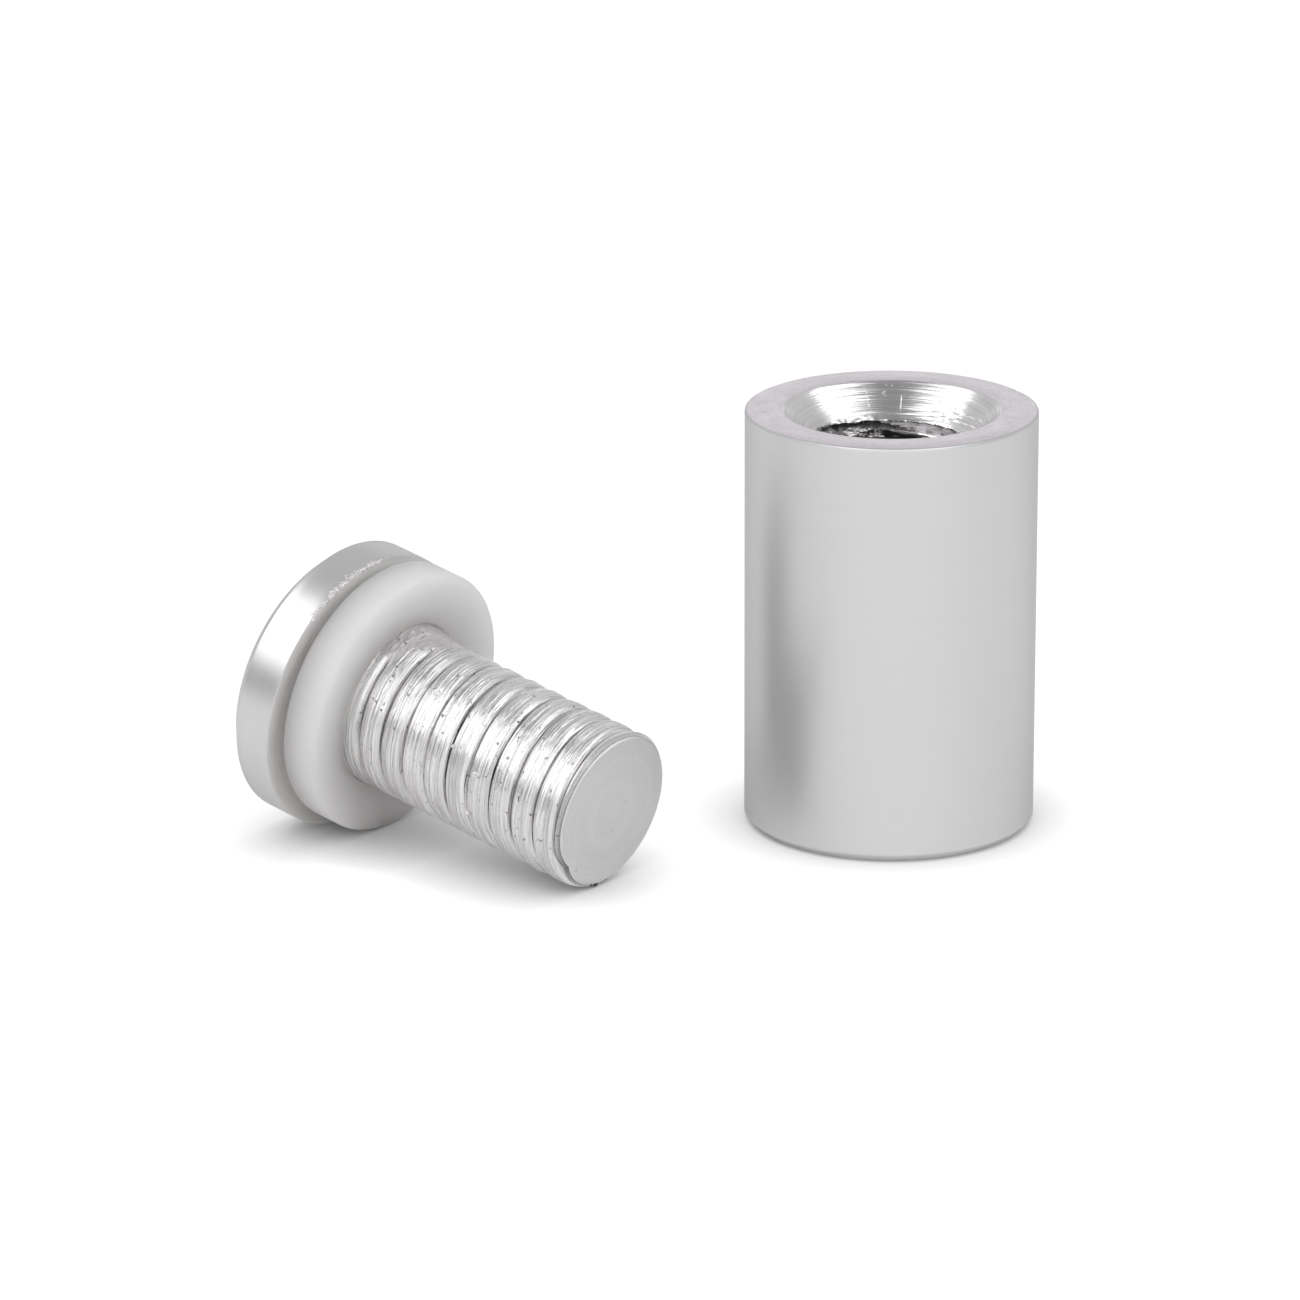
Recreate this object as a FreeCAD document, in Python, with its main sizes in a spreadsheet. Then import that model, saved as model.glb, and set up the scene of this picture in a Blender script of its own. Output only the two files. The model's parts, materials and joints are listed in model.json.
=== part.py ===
"""A glass panel standoff, taken apart: a threaded barrel, its cap screw and a soft washer.

Millimetres. +Z is up and the origin is the middle of the barrel's foot, which stands on the floor.
The cap screw lies beside the barrel, on the rim of its head and the end of its stud.
"""
import FreeCAD, Part
import math
import os
import Sketcher

SIZES = {
    "barrel_diameter": 16.5,
    "barrel_height": 24.1,
    "foot_chamfer": 0.45,
    "edge_break": 0.12,
    "sink_diameter": 12.3,
    "sink_angle": 90,
    "socket_depth": 20,
    "tapped_depth": 13.3,
    "wall_screw_diameter": 5.2,
    "thread_pitch": 1.5875,
    "thread_angle": 60,
    "stud_diameter": 9.35,
    "stud_length": 18.2,
    "stud_crest": 0.2,
    "stud_root": 0.348,
    "stud_thread_start": 1.46,
    "stud_end_chamfer": 0.3,
    "socket_crest": 0.4,
    "crest_clearance": 0.175,
    "root_clearance": 0.275,
    "head_diameter": 16.4,
    "head_thickness": 3.0,
    "head_chamfer": 0.7,
    "washer_inset": 0.4,
    "washer_clearance": 0.475,
    "washer_thickness": 2.4,
    "washer_rounding": 0.25,
    "washer_gap": 0.05,
    "washer_off_head": 0.35,
    "cap_left": 29.75,
    "cap_front": 1.33,
    "cap_turn": 38.4,
}

doc = FreeCAD.newDocument("glass_panel_standoff")
sheet = doc.addObject("Spreadsheet::Sheet", "Sizes")
for row, (name, size) in enumerate(SIZES.items(), start=1):
    sheet.set(f"A{row}", name)
    sheet.set(f"B{row}", str(size))
    sheet.setAlias(f"B{row}", name)
doc.recompute()


def origin_plane(body, role):
    """The body's own origin plane or axis with this role."""
    return next(item for item in body.Origin.OriginFeatures if item.Role == role)


def new_body(name):
    """An empty body whose label is the piece's name."""
    body = doc.addObject("PartDesign::Body", name)
    body.Label = name
    return body


def outline(body, name, corners):
    """A closed sketch on the body's XZ plane: each corner is held by expressions for radius and height."""
    sketch = body.newObject("Sketcher::SketchObject", name)
    sketch.AttachmentSupport = (origin_plane(body, "XZ_Plane"), [""])
    sketch.MapMode = "FlatFace"
    places = [[float(sheet.evalExpression(text)) for text in corner] for corner in corners]
    points = [FreeCAD.Vector(radius, height, 0) for radius, height in places]
    for start, end in zip(points, points[1:] + points[:1]):
        sketch.addGeometry(Part.LineSegment(start, end), False)
    for line in range(len(points)):
        sketch.addConstraint(Sketcher.Constraint("Coincident", line, 2, (line + 1) % len(points), 1))
    for line, (corner, place) in enumerate(zip(corners, places)):
        for kind, text, size in zip(("DistanceX", "DistanceY"), corner, place):
            index = sketch.addConstraint(Sketcher.Constraint(kind, -1, 1, line, 1, size))
            sketch.renameConstraint(index, f"{name}_{kind[-1].lower()}{line}")
            sketch.setExpression(f"Constraints[{index}]", text)
    return sketch


def turned(body, name, corners):
    """The solid that a lathe turns from the outline, about the body's own Z axis."""
    feature = body.newObject("PartDesign::Revolution", name)
    feature.Profile = outline(body, name + "_outline", corners)
    feature.ReferenceAxis = (origin_plane(body, "Z_Axis"), [""])
    feature.Angle = 360
    doc.recompute()
    return feature


def threaded(body, name, corners, height):
    """A helical groove of this section, cut along the body's Z axis for the given height."""
    before = body.Shape.Volume
    groove = body.newObject("PartDesign::SubtractiveHelix", name)
    groove.Profile = outline(body, name + "_section", corners)
    groove.ReferenceAxis = (origin_plane(body, "Z_Axis"), [""])
    groove.Mode = 0
    groove.setExpression("Pitch", "Sizes.thread_pitch")
    groove.setExpression("Height", height)
    doc.recompute()
    if not body.Shape.Volume < before:
        raise RuntimeError(f"{name} cut nothing")
    return groove


# The sizes that follow from the ones above, as expressions on the sheet. The socket's bore stands
# clear of the stud's groove, and the socket's groove clear of the stud's crests.
FLANK = "tan(Sizes.thread_angle * 1deg / 2)"
STUD_DEEP = f"((Sizes.thread_pitch - Sizes.stud_crest - Sizes.stud_root) / 2 / {FLANK})"
SOCKET_RADIUS = f"(Sizes.stud_diameter / 2 - {STUD_DEEP} + Sizes.root_clearance)"
SOCKET_ROOT_RADIUS = "(Sizes.stud_diameter / 2 + Sizes.crest_clearance)"
SINK_FOOT = f"(Sizes.sink_diameter / 2 - {SOCKET_RADIUS}) / tan(Sizes.sink_angle * 1deg / 2)"
TILT = ("atan((Sizes.head_diameter - Sizes.stud_diameter) / 2"
        " / (Sizes.stud_length - Sizes.stud_end_chamfer))")

# The barrel: turned from bar, countersunk and tapped for the stud, with a hole for the wall
# screw through the floor of the socket. It stands on its foot.
barrel = new_body("barrel")
turned(barrel, "barrel_turning", [
    ("Sizes.wall_screw_diameter / 2", "0"),
    ("Sizes.barrel_diameter / 2 - Sizes.foot_chamfer", "0"),
    ("Sizes.barrel_diameter / 2", "Sizes.foot_chamfer"),
    ("Sizes.barrel_diameter / 2", "Sizes.barrel_height - Sizes.edge_break"),
    ("Sizes.barrel_diameter / 2 - Sizes.edge_break", "Sizes.barrel_height"),
    ("Sizes.sink_diameter / 2", "Sizes.barrel_height"),
    (SOCKET_RADIUS, f"Sizes.barrel_height - {SINK_FOOT}"),
    (SOCKET_RADIUS, "Sizes.barrel_height - Sizes.socket_depth"),
    ("Sizes.wall_screw_diameter / 2", "Sizes.barrel_height - Sizes.socket_depth"),
])
# The bore is drilled deeper than it is tapped. The tap's groove runs out through the countersink.
TAP_LEAD = 0.5
SOCKET_MID = "(Sizes.barrel_height - Sizes.tapped_depth)"
SOCKET_OPEN = f"(Sizes.thread_pitch - Sizes.socket_crest + 2 * {TAP_LEAD} * {FLANK}) / 2"
SOCKET_ROOT = (f"(Sizes.thread_pitch - Sizes.socket_crest) / 2"
               f" - ({SOCKET_ROOT_RADIUS} - {SOCKET_RADIUS}) * {FLANK}")
threaded(barrel, "socket_thread", [
    (f"{SOCKET_RADIUS} - {TAP_LEAD}", f"{SOCKET_MID} - {SOCKET_OPEN}"),
    (SOCKET_ROOT_RADIUS, f"{SOCKET_MID} - ({SOCKET_ROOT})"),
    (SOCKET_ROOT_RADIUS, f"{SOCKET_MID} + ({SOCKET_ROOT})"),
    (f"{SOCKET_RADIUS} - {TAP_LEAD}", f"{SOCKET_MID} + {SOCKET_OPEN}"),
], "Sizes.tapped_depth")

# The cap screw: head and stud turned from one bar, the stud's thread cut up to the washer.
# Its own Z runs from the underside of the head to the end of the stud.
cap_screw = new_body("cap_screw")
turned(cap_screw, "cap_turning", [
    ("0", "-Sizes.head_thickness"),
    ("Sizes.head_diameter / 2 - Sizes.head_chamfer", "-Sizes.head_thickness"),
    ("Sizes.head_diameter / 2", "Sizes.head_chamfer - Sizes.head_thickness"),
    ("Sizes.head_diameter / 2", "0"),
    ("Sizes.stud_diameter / 2", "0"),
    ("Sizes.stud_diameter / 2", "Sizes.stud_length - Sizes.stud_end_chamfer"),
    ("Sizes.stud_diameter / 2 - Sizes.stud_end_chamfer", "Sizes.stud_length"),
    ("0", "Sizes.stud_length"),
])
DIE_LEAD = 0.5
STUD_OPEN = f"(Sizes.thread_pitch - Sizes.stud_crest + 2 * {DIE_LEAD} * {FLANK}) / 2"
STUD_START = "(Sizes.stud_thread_start + Sizes.thread_pitch / 2)"
threaded(cap_screw, "stud_thread", [
    (f"Sizes.stud_diameter / 2 + {DIE_LEAD}", f"{STUD_START} - {STUD_OPEN}"),
    (f"Sizes.stud_diameter / 2 - {STUD_DEEP}", f"{STUD_START} - Sizes.stud_root / 2"),
    (f"Sizes.stud_diameter / 2 - {STUD_DEEP}", f"{STUD_START} + Sizes.stud_root / 2"),
    (f"Sizes.stud_diameter / 2 + {DIE_LEAD}", f"{STUD_START} + {STUD_OPEN}"),
], "Sizes.stud_length")

# The washer: a thick ring of soft clear plastic with rounded edges, a little narrower than the
# head and loose on the stud.
WASHER_BORE = "(Sizes.stud_diameter / 2 + Sizes.washer_clearance)"
WASHER_RIM = "(Sizes.head_diameter / 2 - Sizes.washer_inset)"
washer = new_body("washer")
ring = turned(washer, "washer_ring", [
    (WASHER_BORE, "0"),
    (WASHER_RIM, "0"),
    (WASHER_RIM, "Sizes.washer_thickness"),
    (WASHER_BORE, "Sizes.washer_thickness"),
])
rims = [f"Edge{number}" for number, edge in enumerate(ring.Shape.Edges, start=1)
        if isinstance(edge.Curve, Part.Circle)]
rounding = washer.newObject("PartDesign::Fillet", "washer_rims")
rounding.Base = (ring, rims)
rounding.setExpression("Radius", "Sizes.washer_rounding")

# The cap screw rests on the rim of its head and on the edge of the stud's end, so its axis dips
# towards the end. The washer hangs on the stud just off the head, clear of the floor by the small
# gap that also parts its bore from the stud, and lies to one side as far as the bore lets it.
HEAD_UP = f"Sizes.head_diameter / 2 * cos({TILT})"
TURN = "(Sizes.cap_turn * 1deg)"
AXIS_DOWN = f"rotation(-{TURN}; 90deg + {TILT}; 0deg)"
cap_screw.setExpression("Placement", "placement(vector(-Sizes.cap_left * 1mm; -Sizes.cap_front * 1mm;"
                        f" {HEAD_UP} * 1mm); {AXIS_DOWN})")
LIFT = (f"((Sizes.washer_thickness + Sizes.washer_off_head) * tan({TILT})"
        " - Sizes.washer_inset + Sizes.washer_gap)")
ALONG = f"(Sizes.washer_off_head * cos({TILT}) + {LIFT} * sin({TILT}))"
ACROSS = f"sqrt(max((Sizes.washer_clearance - Sizes.washer_gap)^2 - {LIFT}^2; 0))"
washer.setExpression("Placement", (
    "placement(vector("
    f"(-Sizes.cap_left + {ACROSS} * sin({TURN}) + {ALONG} * cos({TURN})) * 1mm;"
    f"(-Sizes.cap_front + {ACROSS} * cos({TURN}) - {ALONG} * sin({TURN})) * 1mm;"
    f"({HEAD_UP} + {LIFT} * cos({TILT}) - Sizes.washer_off_head * sin({TILT})) * 1mm); {AXIS_DOWN})"))
doc.recompute()

for item in doc.Objects:
    if {"Invalid", "Error"} & set(item.State):
        raise RuntimeError(f"{item.Name} is {item.State}")
os.makedirs("parts", exist_ok=True)
for piece in (barrel, cap_screw, washer):
    shape = piece.Shape
    if shape.isNull() or not shape.isValid() or len(shape.Solids) != 1:
        raise RuntimeError(f"{piece.Label} is not one valid solid")
    shape.exportStep(f"parts/{piece.Label}.step")
    box = shape.BoundBox
    print(f"{piece.Label}: {shape.Volume:.1f} mm3, x {box.XMin:.2f}..{box.XMax:.2f},"
          f" y {box.YMin:.2f}..{box.YMax:.2f}, z {box.ZMin:.2f}..{box.ZMax:.2f}")
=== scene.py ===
"""The looks of a glass panel standoff, taken apart: barrel, cap screw and washer on a pale floor."""
import json
import math

import bmesh
import bpy
import numpy as np
from mathutils import Matrix, Vector, noise


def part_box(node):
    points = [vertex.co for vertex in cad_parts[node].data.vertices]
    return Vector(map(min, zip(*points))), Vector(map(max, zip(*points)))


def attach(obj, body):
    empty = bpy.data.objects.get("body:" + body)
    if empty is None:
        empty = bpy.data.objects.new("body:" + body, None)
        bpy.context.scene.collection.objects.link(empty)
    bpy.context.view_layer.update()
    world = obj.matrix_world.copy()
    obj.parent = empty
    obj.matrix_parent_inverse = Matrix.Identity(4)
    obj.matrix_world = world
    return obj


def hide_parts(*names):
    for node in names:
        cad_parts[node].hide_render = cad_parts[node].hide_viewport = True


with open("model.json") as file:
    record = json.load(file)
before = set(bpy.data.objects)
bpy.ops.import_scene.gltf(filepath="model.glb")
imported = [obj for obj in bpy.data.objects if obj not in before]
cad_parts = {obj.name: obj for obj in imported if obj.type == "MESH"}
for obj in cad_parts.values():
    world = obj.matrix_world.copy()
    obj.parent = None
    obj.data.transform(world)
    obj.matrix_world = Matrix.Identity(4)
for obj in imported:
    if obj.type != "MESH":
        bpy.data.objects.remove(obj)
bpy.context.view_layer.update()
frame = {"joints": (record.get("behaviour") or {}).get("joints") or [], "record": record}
mounts = {mount["name"]: mount for mount in frame["record"]["mounts"]}

# Barrel: one piece turned from aluminium bar and anodised clear, brushed finely round its side.
# The countersink and the tapped socket were cut last, so they are bare, bright and rough; even so the
# socket's thread is painted dark, as painted shade deep in the hole.
MM = 0.001
DEGREE = math.radians(1)
BARREL_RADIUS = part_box("barrel")[1].x
BARREL_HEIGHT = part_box("barrel")[1].z
FOOT_CHAMFER = 0.45 * MM
FOOT_ROUNDING = 0.05 * MM
TOP_BREAK = 0.12 * MM
TOP_ROUNDING = 0.04 * MM
EDGE_FALL = 0.03 * MM
SIDE_MARGIN = 0.1 * MM
SIDE_ROWS = 24
SINK_RADIUS = 6.15 * MM
SINK_LIP = 0.05 * MM
SINK_LIP_DROP = 0.02 * MM
SINK_ROWS = 22
SOCKET_RADIUS = 4.05 * MM
SOCKET_ROOT_RADIUS = 4.85 * MM
SOCKET_FLOOR = mounts["wall_screw_hole"]["dims"]["length_mm"] * MM
WALL_SCREW_RADIUS = mounts["wall_screw_hole"]["dims"]["r_mm"] * MM
PITCH = 1.5875 * MM
FLANK = math.tan(30 * DEGREE)
SOCKET_CREST = 0.4 * MM
SOCKET_PHASE = 21.9 * MM
TAP_END = 10.0 * MM
SINK_FOOT = BARREL_HEIGHT - (SINK_RADIUS - SOCKET_RADIUS)
THREAD_TOP = SINK_FOOT + 0.5 * MM
CONE_END = SINK_FOOT + 0.22 * MM
CONE_END_RISE = 0.27 * MM
GROOVE_FADE = 0.15 * MM
TAP_ROUGHNESS = 0.02 * MM
TAP_MARKS_PER_TURN = 26 / 2.2
TAP_MARKS_PER_PITCH = 10
TORN_DEEP = 0.42 * MM
TORN_MIDDLE = SINK_FOOT - 0.2 * MM
TORN_TALL = 1.1 * MM
RING_DEEP = 0.07 * MM
RING_DEEP_AT_FOOT = 0.05 * MM
RING_WIDE = 0.13 * MM
BRIGHT_TURN = 1.3 * MM
NICK_DEEP = 0.13 * MM
SCRATCH_HALF_WIDE = 0.03 * MM
COLUMNS = 256
ANGLES = np.linspace(0, 2 * math.pi, COLUMNS + 1)


def rings(*corners):
    """Rows of a turned skin, each a circle of one radius at one height."""
    radii, heights = (np.array(side)[:, None] + 0 * ANGLES for side in zip(*corners))
    return radii, heights


def climbing_rows(bottom, top, phase, half_turn_rows=13, crowding=1.15):
    """Heights of rows that climb with the thread, closest in the groove, and stop flat at both ends."""
    half = 0.5 * np.linspace(0, 1, half_turn_rows) ** crowding
    turn = np.concatenate([half, 1 - half[-2:0:-1]])
    first, last = math.floor((bottom - phase) / PITCH) - 1, math.ceil((top - phase) / PITCH)
    turns = (np.arange(first, last + 1)[:, None] + turn).ravel()
    return np.clip(phase + (turns[:, None] + ANGLES / (2 * math.pi)) * PITCH, bottom, top)


def thread_places(heights, phase):
    """Where each point lies along the thread, in turns, and across it, in pitches from groove to groove."""
    turns = (heights - phase) / PITCH - ANGLES / (2 * math.pi)
    return np.floor(turns) + ANGLES / (2 * math.pi), turns - np.floor(turns)


def unevenness(first, second, seed, octaves=3):
    """Smooth random values from about -1 to 1 over a grid of points."""
    places = zip(first.ravel(), second.ravel())
    values = [noise.fractal((a, b, seed), 1.0, 2.0, octaves) for a, b in places]
    return np.array(values).reshape(first.shape)


def lumps(heights, radius, long, tall, seed):
    """Unevenness of a round surface, with lumps this long round it and this tall."""
    return unevenness(ANGLES * radius / long + 0 * heights, heights / tall, seed, octaves=4)


def bell(values, middle, width):
    """1 at the middle, falling smoothly to nothing about one width away."""
    return np.exp(-(2 * (values - middle) / width) ** 2)


def turned_skin(name, blocks):
    """A mesh from blocks of rows (radii, heights, finish number, along, across), closed where rows meet."""
    radii = np.vstack([block[0] for block in blocks])
    heights = np.vstack([block[1] for block in blocks])
    finish = np.concatenate([np.full(len(block[0]), block[2]) for block in blocks])
    along = np.vstack([block[3] if len(block) > 3 else 0 * block[0] for block in blocks])
    across = np.vstack([block[4] if len(block) > 3 else 0 * block[0] for block in blocks])
    points = np.stack([radii * np.cos(ANGLES), radii * np.sin(ANGLES), heights], axis=-1).reshape(-1, 3)
    rows, wide = radii.shape
    corner = (np.arange(rows - 1)[:, None] * wide + np.arange(wide - 1)).ravel()
    quads = np.stack([corner, corner + 1, corner + 1 + wide, corner + wide], axis=-1)
    mesh = bpy.data.meshes.new(name)
    mesh.from_pydata(points.tolist(), [], quads.tolist())
    mesh.polygons.foreach_set("material_index", np.repeat(finish[1:], wide - 1).astype(np.int32))
    # The last row of a turn and the first of the next are far apart across the thread, so a face
    # between them takes its place across from the lower row.
    places = np.stack([along.ravel(), across.ravel()], axis=-1)[quads.ravel()].reshape(-1, 4, 2)
    stepped = places[:, 2, 1] < places[:, 0, 1] - 0.5
    places[stepped, 2:, 1] += 1
    places[stepped, 2:, 0] -= 1
    layer = mesh.uv_layers.new(name="thread")
    layer.uv.foreach_set("vector", places.ravel().astype(np.float32))
    merge = bmesh.new()
    merge.from_mesh(mesh)
    bmesh.ops.remove_doubles(merge, verts=merge.verts, dist=1e-8)
    merge.to_mesh(mesh)
    merge.free()
    return mesh


def column_of(face):
    """The number of the column that a face of a turned skin lies in."""
    return round(math.atan2(face.center.y, face.center.x) / (2 * math.pi) * COLUMNS) % COLUMNS


def on_lathe(degrees, radius, height):
    """The angle in radians, and the point at that angle, radius and height on the lathe."""
    angle = math.radians(degrees)
    return angle, Vector((radius * math.cos(angle), radius * math.sin(angle), height))


def put_in_place(name, mesh, place, sharp=32):
    """The piece's object. Each point first keeps its place on the lathe, with Z along the work."""
    mesh.shade_smooth()
    mesh.set_sharp_from_angle(angle=math.radians(sharp))
    points = np.zeros(len(mesh.vertices) * 3, np.float32)
    mesh.vertices.foreach_get("co", points)
    mesh.attributes.new("lathe", "FLOAT_VECTOR", "POINT").data.foreach_set("vector", points)
    mesh.transform(place)
    piece = bpy.data.objects.new(name, mesh)
    bpy.context.scene.collection.objects.link(piece)
    return piece


def add_shards(mesh, places, finish, seed, lumpiness=0.75):
    """Small torn bits, each (middle, (long, wide, thick), turn, lean), joined into the mesh."""
    bits = bmesh.new()
    bits.from_mesh(mesh)
    for number, (middle, size, turn, lean) in enumerate(places):
        bit = bmesh.ops.create_icosphere(bits, subdivisions=2 if max(size) < 0.2 * MM else 3, radius=1)
        turned = Matrix.Rotation(turn, 4, "Z") @ Matrix.Rotation(-lean, 4, "Y")
        place = Matrix.Translation(middle) @ turned @ Matrix.Diagonal((*size, 1))
        for vertex in bit["verts"]:
            lump = noise.fractal(vertex.co * 1.6 + Vector((seed, number, 0)), 0.8, 2.2, 4)
            vertex.co = place @ (vertex.co * (1 + lumpiness * lump))
            for face in vertex.link_faces:
                face.material_index = finish
    bits.to_mesh(mesh)
    bits.free()


socket_heights = climbing_rows(TAP_END, THREAD_TOP, SOCKET_PHASE)[::-1]
socket_along, socket_across = thread_places(socket_heights, SOCKET_PHASE)
from_groove = np.minimum(socket_across, 1 - socket_across) * PITCH
groove_deep = ((PITCH - SOCKET_CREST) / 2 - from_groove) / FLANK
socket_deep = np.clip(groove_deep, 0, SOCKET_ROOT_RADIUS - SOCKET_RADIUS)
# The cone ends a little higher on the left, where the thread runs into it.
cone_end = CONE_END + CONE_END_RISE * bell(ANGLES, 175 * DEGREE, 110 * DEGREE)
socket_deep *= np.clip((cone_end - socket_heights) / GROOVE_FADE, 0, 1)
socket_deep *= np.clip((socket_heights - TAP_END) / PITCH, 0, 1)
cone_radii = SOCKET_RADIUS + np.maximum(socket_heights - SINK_FOOT, 0)
socket_radii = np.maximum(cone_radii, SOCKET_RADIUS + socket_deep)
# The tap tore the metal of the first crest at the back left, and marked the cone on the right.
torn = bell(ANGLES, 140 * DEGREE, 75 * DEGREE) * bell(socket_heights, TORN_MIDDLE, TORN_TALL)
torn_lumps = 0.35 + 1.1 * lumps(socket_heights, radius=4.4 * MM, long=0.5 * MM, tall=0.45 * MM, seed=3.1)
cut = unevenness(socket_along * TAP_MARKS_PER_TURN, socket_across * TAP_MARKS_PER_PITCH, seed=5.2)
socket_radii += TAP_ROUGHNESS * cut - TORN_DEEP * torn * np.clip(torn_lumps, -0.4, 1.3)
cone_heights = np.linspace(BARREL_HEIGHT - SINK_LIP, THREAD_TOP, SINK_ROWS)[:, None] + 0 * ANGLES
cone_rows = SOCKET_RADIUS + cone_heights - SINK_FOOT
from_right = np.mod(ANGLES + math.pi, 2 * math.pi) - math.pi
ring_strength = np.clip((1.5 - np.abs(from_right - 0.15)) / 0.7, 0, 1)
ring_climb = np.clip((1.25 - from_right) / 1.6, 0, 1)
above_foot = socket_heights > SINK_FOOT + 0.05 * MM
for start, rise in ((0.72, 0.42), (0.52, 0.5), (0.32, 0.5)):
    line = SINK_FOOT + (start + rise * ring_climb) * MM
    cone_rows += RING_DEEP * ring_strength * bell(cone_heights, line, RING_WIDE)
    socket_radii += RING_DEEP_AT_FOOT * ring_strength * above_foot * bell(socket_heights, line, RING_WIDE)

# A small nick in the outer edge of the top, on the right.
edge_nick = NICK_DEEP * bell(ANGLES, 28 * DEGREE, 2.4 * DEGREE)[None]

SIDE, TOP, SINK, SOCKET, SWARF = range(5)
side_rows = np.linspace(FOOT_CHAMFER + SIDE_MARGIN, BARREL_HEIGHT - TOP_BREAK - SIDE_MARGIN, SIDE_ROWS)
barrel_mesh = turned_skin("barrel_skin", [
    (*rings((WALL_SCREW_RADIUS, 0), (BARREL_RADIUS - FOOT_CHAMFER, 0)), SIDE),
    (*rings((BARREL_RADIUS - EDGE_FALL, FOOT_CHAMFER - FOOT_ROUNDING), (BARREL_RADIUS, FOOT_CHAMFER)), SIDE),
    (*rings(*((BARREL_RADIUS, height) for height in side_rows)), SIDE),
    (*rings((BARREL_RADIUS, BARREL_HEIGHT - TOP_BREAK)), SIDE),
    (BARREL_RADIUS - EDGE_FALL - edge_nick, BARREL_HEIGHT - TOP_ROUNDING + 0 * edge_nick, SIDE),
    (BARREL_RADIUS - TOP_BREAK - 1.6 * edge_nick, BARREL_HEIGHT + 0 * edge_nick, SIDE),
    (*rings((SINK_RADIUS + SINK_LIP, BARREL_HEIGHT), (SINK_RADIUS, BARREL_HEIGHT - SINK_LIP_DROP)), TOP),
    (cone_rows, cone_heights, SINK),
    (socket_radii, socket_heights, SOCKET, socket_along, socket_across),
    (*rings((SOCKET_RADIUS, SOCKET_FLOOR), (WALL_SCREW_RADIUS, SOCKET_FLOOR),
            (WALL_SCREW_RADIUS, 0)), SOCKET),
])
# On the right the first turn of the thread is wide and as bright as the cone above it, so there it takes the
# cone's finish in place of the socket's painted shade.
bright_down_to = cone_end - BRIGHT_TURN * bell(from_right, 0.35, 1.9)
for face in barrel_mesh.polygons:
    if face.material_index == SOCKET and face.center.z > bright_down_to[column_of(face)]:
        face.material_index = SINK
# Swarf clings to the torn crest.
swarf = []
for degrees, radius, drop, size, turn in (
        (152, 4.3, 0.10, (0.75, 0.22, 0.20), 1.1), (138, 4.15, 0.35, (0.55, 0.28, 0.22), 0.4),
        (122, 4.0, 0.25, (0.80, 0.26, 0.26), 0.2), (112, 4.05, 0.55, (0.50, 0.24, 0.20), 0.0),
        (166, 4.35, 0.30, (0.50, 0.20, 0.16), 1.4), (100, 4.1, 0.60, (0.42, 0.18, 0.14), -0.2)):
    angle, middle = on_lathe(degrees, radius * MM, SINK_FOOT - drop * MM)
    swarf.append((middle, [side * MM for side in size], turn, 0))
add_shards(barrel_mesh, swarf, SWARF, 7.0)
# Two scratches run up the back of the cone, as thin raised lines.
scratches = []
for degrees, inner, outer in ((102.8, 4.75, 5.9), (81.8, 4.6, 5.5)):
    out = (inner + outer) / 2 * MM
    angle, middle = on_lathe(degrees, out, SINK_FOOT + out - SOCKET_RADIUS)
    size = ((outer - inner) / 1.8 * MM, SCRATCH_HALF_WIDE, SCRATCH_HALF_WIDE)
    scratches.append((middle, size, angle, math.pi / 4))
add_shards(barrel_mesh, scratches, SINK, 1.0)
barrel = put_in_place("barrel_turned", barrel_mesh, Matrix.Identity(4))


def new_group(name, inputs, outputs):
    """A shader node group with these named sockets, and its input and output nodes."""
    group = bpy.data.node_groups.new(name, "ShaderNodeTree")
    for label, (kind, value) in inputs.items():
        socket = group.interface.new_socket(label, in_out="INPUT", socket_type=f"NodeSocket{kind}")
        if value is not None:
            socket.default_value = value
    for label in outputs:
        group.interface.new_socket(label, in_out="OUTPUT", socket_type="NodeSocketFloat")
    return group, group.nodes.new("NodeGroupInput"), group.nodes.new("NodeGroupOutput")


def join(tree, socket, term):
    """Links an input socket to another socket, or sets it to a value."""
    if isinstance(term, bpy.types.NodeSocket):
        tree.links.new(term, socket)
    else:
        socket.default_value = term


def feed(tree, node, **terms):
    """Gives a node's inputs these sockets or values. An underscore in a name stands for a space."""
    for label, term in terms.items():
        join(tree, node.inputs[label.replace("_", " ")], term)


def maths(tree, operation, *terms, clamp=False):
    """A math node over sockets and numbers, as its output socket."""
    node = tree.nodes.new("ShaderNodeMath")
    node.operation = operation
    node.use_clamp = clamp
    for socket, term in zip(node.inputs, terms):
        join(tree, socket, term)
    return node.outputs[0]


def parts_of(tree, vector):
    """The three parts of a vector socket, as output sockets by axis."""
    node = tree.nodes.new("ShaderNodeSeparateXYZ")
    tree.links.new(vector, node.inputs[0])
    return node.outputs


def vector_of(tree, **parts):
    """A vector from its parts X, Y and Z, as an output socket."""
    node = tree.nodes.new("ShaderNodeCombineXYZ")
    feed(tree, node, **parts)
    return node.outputs[0]


def grain(tree, place, scale, detail):
    """A noise texture at this place, as its output socket."""
    node = tree.nodes.new("ShaderNodeTexNoise")
    feed(tree, node, Vector=place, Scale=scale, Detail=detail)
    return node.outputs["Fac"]


def ramp(tree, value, low, high, top=1.0):
    """0 to top as the value goes from low to high, and level past both, as an output socket."""
    node = tree.nodes.new("ShaderNodeMapRange")
    feed(tree, node, Value=value, From_Min=low, From_Max=high, To_Max=top)
    return node.outputs[0]


def mixed(tree, factor, first, second):
    """A colour between two colours or sockets, as an output socket."""
    node = tree.nodes.new("ShaderNodeMix")
    node.data_type = "RGBA"
    feed(tree, node, Factor=factor, A=first, B=second)
    return node.outputs["Result"]


def bumps(tree, height, distance):
    """The normal of a surface raised by this height socket, as an output socket."""
    node = tree.nodes.new("ShaderNodeBump")
    feed(tree, node, Strength=1.0, Distance=distance, Height=height)
    return node.outputs["Normal"]


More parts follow.
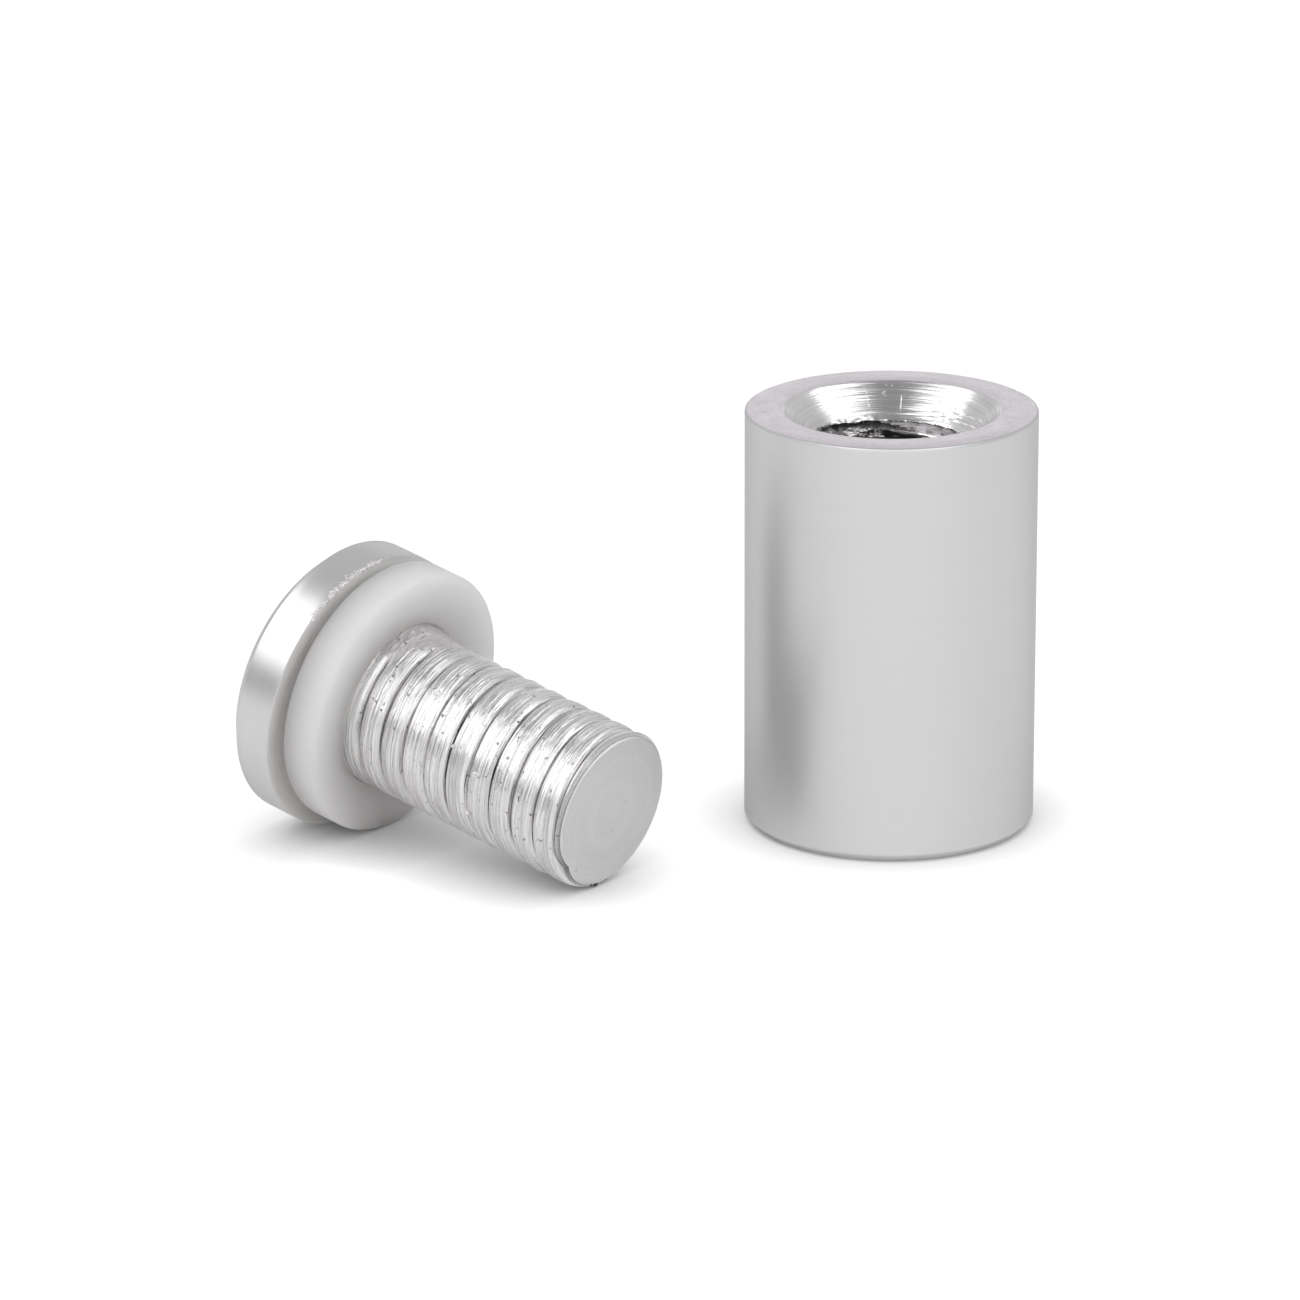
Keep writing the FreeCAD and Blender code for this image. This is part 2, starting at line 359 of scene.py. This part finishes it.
def lathe_place(tree):
    """Each point's place on the lathe, as an output socket."""
    node = tree.nodes.new("ShaderNodeAttribute")
    node.attribute_name = "lathe"
    return node.outputs["Vector"]


# Tool marks: lines that run round the work, close together along Z and slow to change round it.
marks_group, marks_in, marks_out = new_group(
    "tool_marks",
    {"Place": ("Vector", None), "Lines": ("Float", 6000.0), "Drift": ("Float", 150.0)},
    ("Fine", "Broad"))
around_it = marks_in.outputs["Drift"]
stretch = vector_of(marks_group, X=around_it, Y=around_it, Z=marks_in.outputs["Lines"])
stretched = marks_group.nodes.new("ShaderNodeVectorMath")
stretched.operation = "MULTIPLY"
join(marks_group, stretched.inputs[0], marks_in.outputs["Place"])
join(marks_group, stretched.inputs[1], stretch)
feed(marks_group, marks_out,
     Fine=grain(marks_group, stretched.outputs[0], scale=1.0, detail=3.0),
     Broad=grain(marks_group, stretched.outputs[0], scale=0.23, detail=2.0))

# Pits and chips: scattered small spots, of which only the strongest show.
SPOT_HARDNESS = 18.0
spots_group, spots_in, spots_out = new_group(
    "spots",
    {"Place": ("Vector", None), "Scale": ("Float", 3000.0), "Least": ("Float", 0.68)},
    ("Mask",))
spot_noise = grain(spots_group, spots_in.outputs["Place"], spots_in.outputs["Scale"], detail=2.0)
spot_over = maths(spots_group, "SUBTRACT", spot_noise, spots_in.outputs["Least"])
feed(spots_group, spots_out, Mask=maths(spots_group, "MULTIPLY", spot_over, SPOT_HARDNESS, clamp=True))

# How far one turn of the thread is, and where the painted shade in the crease between turns starts
# and is full, in pitches from the crest.
THREAD_ROUND = 26.4 * MM
CREASE_SHADE_START = 0.45
CREASE_SHADE_FULL = 0.53
CREASE_SHADE_WANDER = 0.05
# How much the fine marks weigh in the colour, and how far the broad ones change the gloss.
FINE_SHARE = 0.6
GLOSS_CHANGE = 0.2


def aluminium(name, pale, dark, roughness, lines, drift, depth, contrast, spots=0.72, rim=1.0,
              facing=False, thread=False):
    """Bare or anodised aluminium whose colour, gloss and surface follow the marks of the cutting tool.

    Facing marks are rings round the middle of a flat face; thread marks follow the helix, and on a
    thread the crease between turns is painted dark as painted shade. The rim value is how much of its
    shine the metal keeps where it turns away from the eye.
    """
    material = bpy.data.materials.new(name)
    material.use_nodes = True
    tree = material.node_tree
    place = line_place = lathe_place(tree)
    if thread:
        helix = tree.nodes.new("ShaderNodeUVMap")
        helix.uv_map = "thread"
        parts = parts_of(tree, helix.outputs["UV"])
        line_place = vector_of(tree, X=maths(tree, "MULTIPLY", parts["X"], THREAD_ROUND),
                               Z=maths(tree, "MULTIPLY", parts["Y"], PITCH))
    elif facing:
        parts = parts_of(tree, place)
        squares = [maths(tree, "MULTIPLY", parts[axis], parts[axis]) for axis in "XY"]
        from_middle = maths(tree, "SQRT", maths(tree, "ADD", *squares))
        line_place = vector_of(tree, X=parts["X"], Y=parts["Y"], Z=from_middle)
    marks = tree.nodes.new("ShaderNodeGroup")
    marks.node_tree = marks_group
    feed(tree, marks, Place=line_place, Lines=lines, Drift=drift)
    fine, broad = marks.outputs["Fine"], marks.outputs["Broad"]
    pits = tree.nodes.new("ShaderNodeGroup")
    pits.node_tree = spots_group
    feed(tree, pits, Place=place, Least=spots)
    pit = pits.outputs["Mask"]

    broad_share = maths(tree, "MULTIPLY", broad, 1 - FINE_SHARE)
    tone = maths(tree, "MULTIPLY_ADD", fine, FINE_SHARE, broad_share)
    spread_tone = ramp(tree, tone, 0.5 - 0.5 / contrast, 0.5 + 0.5 / contrast, top=0.5)
    darker = maths(tree, "MAXIMUM", spread_tone, pit)
    # Painted shade: the crease between turns of a thread is darkened in the colour.
    if thread:
        from_crest = maths(tree, "SUBTRACT", maths(tree, "FRACT", parts["Y"]), 0.5)
        wander = maths(tree, "MULTIPLY", broad, CREASE_SHADE_WANDER)
        across = maths(tree, "ADD", maths(tree, "ABSOLUTE", from_crest), wander)
        darker = maths(tree, "MAXIMUM", darker, ramp(tree, across, CREASE_SHADE_START, CREASE_SHADE_FULL))
    change = GLOSS_CHANGE * contrast * roughness
    feed(tree, tree.nodes["Principled BSDF"],
         Metallic=1.0,
         Specular_Tint=(rim, rim, rim, 1),
         Base_Color=mixed(tree, darker, (*pale, 1), (*dark, 1)),
         Roughness=maths(tree, "MULTIPLY_ADD", broad, change, roughness - change / 2),
         Normal=bumps(tree, maths(tree, "SUBTRACT", fine, pit), depth))
    return material


for finish in (
        aluminium("satin_anodised", pale=(0.75, 0.75, 0.75), dark=(0.70, 0.70, 0.70), roughness=0.38,
                  lines=9000, drift=300, depth=0.0015 * MM, contrast=0.7, spots=0.80, rim=0.72),
        aluminium("anodised_face", pale=(0.93, 0.885, 0.935), dark=(0.56, 0.53, 0.56), roughness=0.42,
                  lines=5000, drift=2600, depth=0.012 * MM, contrast=2.6, spots=0.70, facing=True),
        aluminium("turned_bright", pale=(0.93, 0.915, 0.925), dark=(0.42, 0.41, 0.42), roughness=0.23,
                  lines=7000, drift=120, depth=0.035 * MM, contrast=2.8),
        # Painted shade: the tapped thread is painted dark for the shade deep in the hole.
        aluminium("tapped_painted_shade", pale=(0.34, 0.33, 0.33), dark=(0.05, 0.05, 0.05), roughness=0.30,
                  lines=6000, drift=250, depth=0.03 * MM, contrast=2.4, spots=0.62, thread=True),
        aluminium("swarf", pale=(0.72, 0.70, 0.71), dark=(0.10, 0.10, 0.10), roughness=0.38,
                  lines=5000, drift=4000, depth=0.06 * MM, contrast=2.6, spots=0.60)):
    barrel_mesh.materials.append(finish)
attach(barrel, "standoff")
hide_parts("barrel")

# Cap screw: head and stud turned from one bar. The head is anodised, the thread cut after that.
# It lies on the rim of its head and the end of its stud, with its axis dipping to the floor.
HEAD_RADIUS = 8.2 * MM
HEAD_THICKNESS = 3.0 * MM
HEAD_CHAMFER = 0.7 * MM
HEAD_EDGE_MARGIN = 0.04 * MM
HEAD_EDGE_FALL = 0.02 * MM
UNDER_BREAK = 0.12 * MM
RIM_WEAR_WIDE = 0.4 * MM
RIM_WEAR_DEEP = 0.02 * MM
BURR_DEEP = 0.03 * MM
BURR_FACES = 201 * DEGREE
STUD_RADIUS = 4.675 * MM
STUD_DEEP = 0.42 * MM
CREST_FALL = 0.15 * MM
STUD_LENGTH = 18.2 * MM
STUD_CHAMFER = 0.3 * MM
END_ROUNDING = 0.08 * MM
THREAD_START = 1.46 * MM
STUD_PHASE = 0.67 * MM
LAST_TURN = 11.05
LETS_GO_OVER = 0.22
BITES_OVER = 1.1 * MM
ROUGH_FROM_START = 0.5 * MM
ROUGH_FROM_END = 0.3 * MM
NECK_FACES = 142 * DEGREE
NECK_SHORT = 2.0 * MM
NECK_LONGER = 3.3 * MM
NECK_SWELL = 0.33 * MM
SWELL_TOP = 4.2 * MM
SWELL_FADE = 1.9 * MM
NECK_SCUFFS = 0.05 * MM
NECK_FOOT_OUT = 0.1 * MM
NECK_FOOT_TALL = 0.15 * MM
stud_axis = Vector(frame["joints"][0]["axis"]).normalized()
toward_viewer = stud_axis.cross(Vector((0, 0, 1))).normalized()
stud_up = toward_viewer.cross(stud_axis)
stud_end = Vector(mounts["stud_end"]["pos_m"])
head_middle = stud_end - stud_axis * STUD_LENGTH
cap_place = Matrix((-stud_up, -toward_viewer, stud_axis)).transposed().to_4x4()
cap_place.translation = head_middle

thread_end = STUD_LENGTH - STUD_CHAMFER
stud_heights = climbing_rows(THREAD_START, thread_end, STUD_PHASE)
stud_along, stud_across = thread_places(stud_heights, STUD_PHASE)


def thread_lumps(long, wide, seed):
    """Unevenness of the stud's thread, with lumps this long along it and this wide across it."""
    return unevenness(stud_along * 2 * math.pi * STUD_RADIUS / long, stud_across * PITCH / wide, seed)


# The crests fall off gently at first, and then steeply into a narrow crease.
off_crest = np.abs(2 * stud_across - 1)
stud_deep = CREST_FALL * off_crest ** 2.2 + STUD_DEEP * off_crest ** 10
# The die lets go over the last part turn at the end, and bites in above a rough neck at the head.
# The neck is long and thick on its upper, far side, where the die hardly reached it.
neck_side = np.clip(1.6 * np.cos((ANGLES - NECK_FACES) * 0.9) - 0.5, 0, 1)
bite = np.clip((stud_heights - NECK_SHORT - NECK_LONGER * neck_side) / BITES_OVER, 0, 1)
stud_deep *= bite * np.clip((LAST_TURN - stud_along) / LETS_GO_OVER, 0, 1)
strands = thread_lumps(long=5 * MM, wide=0.16 * MM, seed=1.7)
dents = thread_lumps(long=1.3 * MM, wide=0.5 * MM, seed=8.3)
tears = thread_lumps(long=0.45 * MM, wide=0.2 * MM, seed=4.4)
strands *= 1 - 0.8 * (1 - bite) * neck_side
tears_at_crest = bell(stud_across, 0.5, 0.3) * (0.5 + tears)
rough = 0.03 + 0.05 * strands + 0.02 * dents + 0.02 * tears_at_crest
rough *= np.clip((stud_heights - THREAD_START) / ROUGH_FROM_START, 0, 1)
rough *= np.clip((thread_end - stud_heights) / ROUGH_FROM_END, 0, 1)
stud_radii = np.minimum(STUD_RADIUS - stud_deep - rough * MM, STUD_RADIUS)
swell = np.clip((SWELL_TOP - stud_heights) / SWELL_FADE, 0, 1) * neck_side
scuffs = lumps(stud_heights, radius=4.7 * MM, long=0.35 * MM, tall=0.16 * MM, seed=6.1)
stud_radii += NECK_SWELL * swell + NECK_SCUFFS * (1 - bite) * neck_side * scuffs
neck_foot = stud_radii[:1]
end_row = stud_radii[-1:]

# The head's rim is smooth, apart from a torn edge against the washer at its upper left.
rim_heights = np.array([HEAD_CHAMFER - HEAD_THICKNESS] + [
    height * MM for height in (-1.8, -1.2, -0.7, -0.45, -0.3, -0.2, -0.12, -0.05)])[:, None] + 0 * ANGLES
burred = bell(ANGLES, BURR_FACES, 46 * DEGREE)
burr_lumps = lumps(rim_heights, radius=HEAD_RADIUS, long=0.4 * MM, tall=0.15 * MM, seed=9.5)
rim_wear = RIM_WEAR_DEEP + BURR_DEEP * burred * np.clip(0.4 + burr_lumps, 0, 1)
rim_radii = HEAD_RADIUS - bell(rim_heights, 0, RIM_WEAR_WIDE) * rim_wear

HEAD, UNDER, STUD, END, DARK_SPECK, NECK, TORN = range(7)
end_faces = np.linspace(1, 0, 14)[1:]
cap_mesh = turned_skin("cap_screw_skin", [
    (*rings(*((radius * MM, -HEAD_THICKNESS) for radius in (0, 3, 6)),
            (HEAD_RADIUS - HEAD_CHAMFER - HEAD_EDGE_MARGIN, -HEAD_THICKNESS),
            (HEAD_RADIUS - HEAD_CHAMFER + HEAD_EDGE_FALL, -HEAD_THICKNESS + HEAD_EDGE_FALL),
            (HEAD_RADIUS - HEAD_EDGE_FALL, HEAD_CHAMFER - HEAD_THICKNESS - HEAD_EDGE_MARGIN)), HEAD),
    (rim_radii, rim_heights, HEAD),
    (*rings((HEAD_RADIUS - UNDER_BREAK, 0), *((radius * MM, 0) for radius in (7.4, 6.2))), UNDER),
    (neck_foot + NECK_FOOT_OUT, 0 * neck_foot, UNDER),
    (neck_foot, NECK_FOOT_TALL + 0 * neck_foot, UNDER),
    (stud_radii, stud_heights, STUD, stud_along, stud_across),
    (end_row - 0.6 * STUD_CHAMFER, STUD_LENGTH - END_ROUNDING + 0 * end_row, STUD),
    (end_row - STUD_CHAMFER, STUD_LENGTH + 0 * end_row, END),
    ((end_row - STUD_CHAMFER) * end_faces[:, None], STUD_LENGTH + 0 * end_row * end_faces[:, None], END),
])
for face in cap_mesh.polygons:
    column = column_of(face)
    bare = (2.2 + 3.1 * neck_side[column] + 0.8 * noise.noise(face.center / (0.35 * MM))) * MM
    if face.material_index == STUD and face.center.z < bare and neck_side[column] > 0.1:
        face.material_index = NECK
    frayed = (0.08 + 0.22 * burred[column] + 0.25 * noise.noise(face.center / (0.15 * MM))) * MM
    if face.material_index == HEAD and burred[column] > 0.25 and face.center.z > -frayed:
        face.material_index = TORN
# Tiny chips crowd along the torn edge of the head.
chips = []
for number in range(200):
    stray, reach, size = (noise.noise((number * 3.1, row, 0.7)) for row in (0.4, 5.4, 9.4))
    out = HEAD_RADIUS - (0.06 + 0.03 * reach) * MM
    angle, middle = on_lathe(182 + 0.2 * number + 6 * stray, out, -(0.09 + 0.2 * size) * MM)
    sizes_mm = (0.06, 0.06 + 0.12 * abs(stray), 0.05 + 0.07 * abs(reach))
    chips.append((middle, [side * MM for side in sizes_mm], angle, 1.5 * reach))
add_shards(cap_mesh, chips, TORN, 2.0)
# Bright flecks stick to the near side of the thread.
flecks = []
for degrees, height, size in ((258, 11.9, 0.20), (290, 11.7, 0.19), (262, 8.6, 0.12), (250, 12.6, 0.11),
                              (275, 14.4, 0.10), (247, 9.9, 0.10), (268, 6.1, 0.10)):
    angle, middle = on_lathe(degrees, STUD_RADIUS - 0.06 * MM, height * MM)
    flecks.append((middle, (0.8 * size * MM, size * MM, 0.8 * size * MM), angle, 0))
add_shards(cap_mesh, flecks, TORN, 4.0)
# Dark specks sit on the lowest edge of the stud's end, where it rests on the floor.
dark_specks = []
for degrees, inward, height, size in (
        (357, 0.10, 18.08, (0.07, 0.14, 0.09)), (350, 0.20, 18.15, (0.05, 0.06, 0.04)),
        (7, 0.24, 18.16, (0.04, 0.05, 0.04)), (353, 0.34, 18.17, (0.03, 0.07, 0.03))):
    edge = end_row[0, round(degrees / 360 * COLUMNS)]
    angle, middle = on_lathe(degrees, edge - inward * MM, height * MM)
    dark_specks.append((middle, [side * MM for side in size], angle, 0))
add_shards(cap_mesh, dark_specks, DARK_SPECK, 5.0)
cap_screw = put_in_place("cap_screw_turned", cap_mesh, cap_place)
for finish in (
        aluminium("satin_head", pale=(0.77, 0.76, 0.77), dark=(0.70, 0.69, 0.70), roughness=0.34,
                  lines=9000, drift=260, depth=0.002 * MM, contrast=0.8, spots=0.80, rim=0.8),
        aluminium("faced_under", pale=(0.77, 0.76, 0.75), dark=(0.50, 0.49, 0.48), roughness=0.36,
                  lines=7000, drift=400, depth=0.008 * MM, contrast=2.0, facing=True),
        aluminium("cut_thread", pale=(0.98, 0.97, 0.97), dark=(0.36, 0.35, 0.35), roughness=0.25,
                  lines=8500, drift=240, depth=0.15 * MM, contrast=4.0, spots=0.69, thread=True),
        aluminium("faced_end", pale=(0.77, 0.765, 0.765), dark=(0.57, 0.565, 0.565), roughness=0.42,
                  lines=3600, drift=60, depth=0.008 * MM, contrast=1.8, facing=True),
        aluminium("dark_specks", pale=(0.10, 0.09, 0.08), dark=(0.03, 0.03, 0.03), roughness=0.6,
                  lines=6000, drift=6000, depth=0.01 * MM, contrast=2.0),
        aluminium("torn_neck", pale=(0.86, 0.83, 0.84), dark=(0.36, 0.34, 0.35), roughness=0.48,
                  lines=4000, drift=1800, depth=0.10 * MM, contrast=2.6, spots=0.66),
        aluminium("torn_edge", pale=(0.90, 0.88, 0.89), dark=(0.42, 0.40, 0.41), roughness=0.27,
                  lines=8000, drift=8000, depth=0.10 * MM, contrast=3.0, spots=0.64)):
    cap_mesh.materials.append(finish)
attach(cap_screw, "standoff")
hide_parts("cap_screw")

# Washer: a thick moulded ring of soft, milky plastic that lets light through. It keeps the metal
# off the glass, slides freely on the stud and leans on the head's underside.
WASHER_RADIUS = 7.8 * MM
WASHER_BORE = 4.92 * MM
BORE_OFF_STUD = 0.2 * MM
WASHER_THICKNESS = 2.4 * MM
WASHER_ROUNDING = 0.32 * MM
BORE_ROUNDING = 0.25 * MM
BORE_LIGHT_START = WASHER_BORE + 0.8 * MM
BORE_LIGHT_FULL = WASHER_BORE + 0.05 * MM
PAINTED_WARMING_PER_METRE = 70.0
CLOUDS = 1.6
CLOUD_BASE = -0.45
DIMPLE_DEEP = 0.03 * MM
# The warmer colour and the cream are painted light, for the lower side and the bore edge lit through.
GREYER = (0.93, 0.92, 0.925, 1)
PAINTED_WARM_LIGHT = (0.985, 0.94, 0.905, 1)
BORE_PAINTED_LIGHT = (1.0, 0.96, 0.89, 1)
washer_low, washer_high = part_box("washer")
washer_middle = (washer_low + washer_high) / 2 - stud_axis * WASHER_THICKNESS / 2
# The bore is a close fit that sits off centre, so it hugs the stud on the near side.
washer_place = cap_place.copy()
washer_place.translation = washer_middle
stud_here = washer_place.inverted() @ head_middle
bore_off = Vector((stud_here.x, stud_here.y)) + Vector((-1, 1)).normalized() * BORE_OFF_STUD
off_turn = ANGLES - math.atan2(bore_off.y, bore_off.x)
off_size = bore_off.length
bore_radii = off_size * np.cos(off_turn) + np.sqrt(WASHER_BORE ** 2 - (off_size * np.sin(off_turn)) ** 2)
washer_rim = WASHER_RADIUS + 0 * ANGLES
washer_radii, washer_heights = [], []
for radii, outward, rounding, middle, first, last in (
        (bore_radii, -1, BORE_ROUNDING, WASHER_THICKNESS - BORE_ROUNDING, 90, 0),
        (bore_radii, -1, BORE_ROUNDING, BORE_ROUNDING, 0, -90),
        (washer_rim, 1, WASHER_ROUNDING, WASHER_ROUNDING, -90, 0),
        (washer_rim, 1, WASHER_ROUNDING, WASHER_THICKNESS - WASHER_ROUNDING, 0, 90)):
    for turn in np.radians(np.linspace(first, last, 7)):
        washer_radii.append(radii + outward * rounding * (math.cos(turn) - 1))
        washer_heights.append(middle + rounding * math.sin(turn) + 0 * ANGLES)
washer_radii.append(washer_radii[0])
washer_heights.append(washer_heights[0])
washer_mesh = turned_skin("washer_skin", [(np.array(washer_radii), np.array(washer_heights), 0)])
washer = put_in_place("washer_moulded", washer_mesh, washer_place, sharp=60)

# The plastic's own colour drifts in soft clouds. Light is painted over it: the lower side is painted
# lighter and warmer than the greyer upper side, and the bore is painted cream where it is lit
# through from the bright stud.
milky = bpy.data.materials.new("milky_plastic")
milky.use_nodes = True
milky_tree = milky.node_tree
milky_place = lathe_place(milky_tree)
milky_parts = parts_of(milky_tree, milky_place)
cloud_noise = grain(milky_tree, milky_place, scale=260, detail=2)
cloudy = maths(milky_tree, "MULTIPLY_ADD", cloud_noise, CLOUDS, CLOUD_BASE)
# Painted light: toward the lower side (local X points down) the colour turns lighter and warmer.
clouds_and_painted_warmth = maths(milky_tree, "MULTIPLY_ADD", milky_parts["X"], PAINTED_WARMING_PER_METRE, cloudy)
body_colour = mixed(milky_tree, clouds_and_painted_warmth, GREYER, PAINTED_WARM_LIGHT)
# Painted light: the bore is painted cream where it is lit through from the stud.
squares = [maths(milky_tree, "POWER", maths(milky_tree, "SUBTRACT", milky_parts[axis], middle), 2)
           for axis, middle in zip("XY", bore_off)]
from_bore = maths(milky_tree, "SQRT", maths(milky_tree, "ADD", *squares))
painted_bore_light = ramp(milky_tree, from_bore, BORE_LIGHT_START, BORE_LIGHT_FULL)
feed(milky_tree, milky_tree.nodes["Principled BSDF"],
     Base_Color=mixed(milky_tree, painted_bore_light, body_colour, BORE_PAINTED_LIGHT),
     Roughness=0.5,
     IOR=1.46,
     Transmission_Weight=0.1,
     Subsurface_Weight=1.0,
     Subsurface_Radius=(0.97, 1.0, 1.0),
     Subsurface_Scale=10 * MM,
     Normal=bumps(milky_tree, grain(milky_tree, milky_place, scale=500, detail=1), DIMPLE_DEEP))
washer_mesh.materials.append(milky)
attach(washer, "washer")
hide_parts("washer")

# Floor and light: a pale table that keeps the pieces' soft shadows from the lamps, with a painted shadow
# close to them, between two wide soft lamps.
# What shines in the metal is the white table, the lamps, a bright wall on the camera's side and a
# softer one behind the object, with dimmer air between them.
FLOOR_HALF = 1.5
FLOOR_LIT = (0.76, 0.76, 0.76, 1)
FLOOR_SEEN = (0.32, 0.32, 0.32, 1)
FLOOR_GLOW = 0.8
FLOOR_MIRRORED = 0.08
PAINTED_SHADOW_REACH = 5.5 * MM
PAINTED_SHADOW_FADE = 0.92
WHITE = (1, 1, 1, 1)
floor_corners = [(x * FLOOR_HALF, y * FLOOR_HALF, 0) for x, y in ((-1, -1), (1, -1), (1, 1), (-1, 1))]
floor_mesh = bpy.data.meshes.new("floor")
floor_mesh.from_pydata(floor_corners, [], [(0, 1, 2, 3)])
floor = bpy.data.objects.new("floor", floor_mesh)
bpy.context.scene.collection.objects.link(floor)

# To the camera the table glows almost white, and a painted contact shadow darkens it close to what stands on
# it.
table = bpy.data.materials.new("white_table")
table.use_nodes = True
table_tree = table.node_tree
table_tree.nodes.clear()
rays = table_tree.nodes.new("ShaderNodeLightPath")
lit = table_tree.nodes.new("ShaderNodeBsdfDiffuse")
feed(table_tree, lit, Color=mixed(table_tree, rays.outputs["Is Camera Ray"], FLOOR_LIT, FLOOR_SEEN))
# Painted shadow: the glow seen by the camera darkens with ambient occlusion near the pieces.
near = table_tree.nodes.new("ShaderNodeAmbientOcclusion")
feed(table_tree, near, Distance=PAINTED_SHADOW_REACH)
openness = maths(table_tree, "MULTIPLY", near.outputs["AO"], PAINTED_SHADOW_FADE)
shade = maths(table_tree, "MINIMUM", openness, FLOOR_GLOW)
seen = maths(table_tree, "MULTIPLY", rays.outputs["Is Camera Ray"], shade)
through = maths(table_tree, "MAXIMUM", rays.outputs["Is Glossy Ray"], rays.outputs["Is Transmission Ray"])
mirrored = maths(table_tree, "MULTIPLY", through, FLOOR_MIRRORED)
glow = table_tree.nodes.new("ShaderNodeEmission")
feed(table_tree, glow, Color=WHITE, Strength=maths(table_tree, "MAXIMUM", seen, mirrored))
table_sum = table_tree.nodes.new("ShaderNodeAddShader")
join(table_tree, table_sum.inputs[0], lit.outputs[0])
join(table_tree, table_sum.inputs[1], glow.outputs[0])
feed(table_tree, table_tree.nodes.new("ShaderNodeOutputMaterial"), Surface=table_sum.outputs[0])
floor_mesh.materials.append(table)

# The surround is plain white to the camera. For all else its brightness changes from front to back,
# where -1 is straight in front of the object and 1 straight behind it.
world = bpy.data.worlds.new("studio")
bpy.context.scene.world = world
world.use_nodes = True
sky = world.node_tree
sky.nodes.clear()
sky_place = sky.nodes.new("ShaderNodeTexCoord")
forth_here = parts_of(sky, sky_place.outputs["Generated"])["Y"]
around = sky.nodes.new("ShaderNodeValToRGB")
for forth, level in ((-1, 1.05), (-0.8, 1.0), (-0.62, 0.35), (-0.4, 0.26), (-0.05, 0.26), (0.2, 0.46),
                     (0.55, 0.58), (0.86, 0.60), (0.96, 0.84)):
    stop = around.color_ramp.elements.new((forth + 1) / 2)
    stop.color = (level, level, level, 1)
around.color_ramp.elements.remove(around.color_ramp.elements[0])
around.color_ramp.elements.remove(around.color_ramp.elements[-1])
feed(sky, around, Fac=maths(sky, "MULTIPLY_ADD", forth_here, 0.5, 0.5))
air = sky.nodes.new("ShaderNodeBackground")
feed(sky, air, Color=around.outputs["Color"])
white = sky.nodes.new("ShaderNodeBackground")
feed(sky, white, Color=WHITE)
sky_rays = sky.nodes.new("ShaderNodeLightPath")
sky_mix = sky.nodes.new("ShaderNodeMixShader")
for socket, shader in zip(sky_mix.inputs[1:], (air, white)):
    join(sky, socket, shader.outputs[0])
feed(sky, sky_mix, Fac=sky_rays.outputs["Is Camera Ray"])
feed(sky, sky.nodes.new("ShaderNodeOutputWorld"), Surface=sky_mix.outputs[0])

LAMP_AIM = Vector((-0.013, 0, 0.012))
LAMP_DISTANCE = 0.5
LAMP_RADIANCE = 1.45


def soft_lamp(name, bearing, elevation, width, height):
    """A wide soft lamp that faces the middle; its bearing is from the camera's side, to the right."""
    lamp = bpy.data.lights.new(name, "AREA")
    lamp.shape = "RECTANGLE"
    lamp.size, lamp.size_y = width, height
    lamp.energy = LAMP_RADIANCE * math.pi * width * height
    holder = bpy.data.objects.new(name, lamp)
    across, up = math.radians(bearing), math.radians(elevation)
    direction = Vector((math.cos(up) * math.sin(across), -math.cos(up) * math.cos(across), math.sin(up)))
    holder.location = LAMP_AIM + direction * LAMP_DISTANCE
    holder.rotation_euler = direction.to_track_quat("Z", "Y").to_euler()
    bpy.context.scene.collection.objects.link(holder)


soft_lamp("lamp_left", bearing=-69, elevation=43, width=0.80, height=0.45)
soft_lamp("lamp_right", bearing=67, elevation=42, width=0.70, height=0.43)

# Camera: a long lens, a little above the table, turned a hair so that the picture stands level
# as in the photograph.
CAMERA_TARGET = Vector((-13.604, 2.893, 9.022)) * MM
CAMERA_DISTANCE = 363 * MM
CAMERA_ELEVATION = math.radians(17.784)
CAMERA_ROLL = math.radians(-0.226)
lens = bpy.data.cameras.new("camera")
lens.sensor_width = 36
lens.lens = 175.7
lens.clip_start = 0.01
camera = bpy.data.objects.new("camera", lens)
bpy.context.scene.collection.objects.link(camera)
backward = Vector((0, -math.cos(CAMERA_ELEVATION), math.sin(CAMERA_ELEVATION)))
camera.matrix_world = (Matrix.Translation(CAMERA_TARGET + backward * CAMERA_DISTANCE)
                       @ Matrix.Rotation(math.pi / 2 - CAMERA_ELEVATION, 4, "X")
                       @ Matrix.Rotation(CAMERA_ROLL, 4, "Z"))
bpy.context.scene.camera = camera
bpy.context.scene.view_settings.view_transform = "Standard"
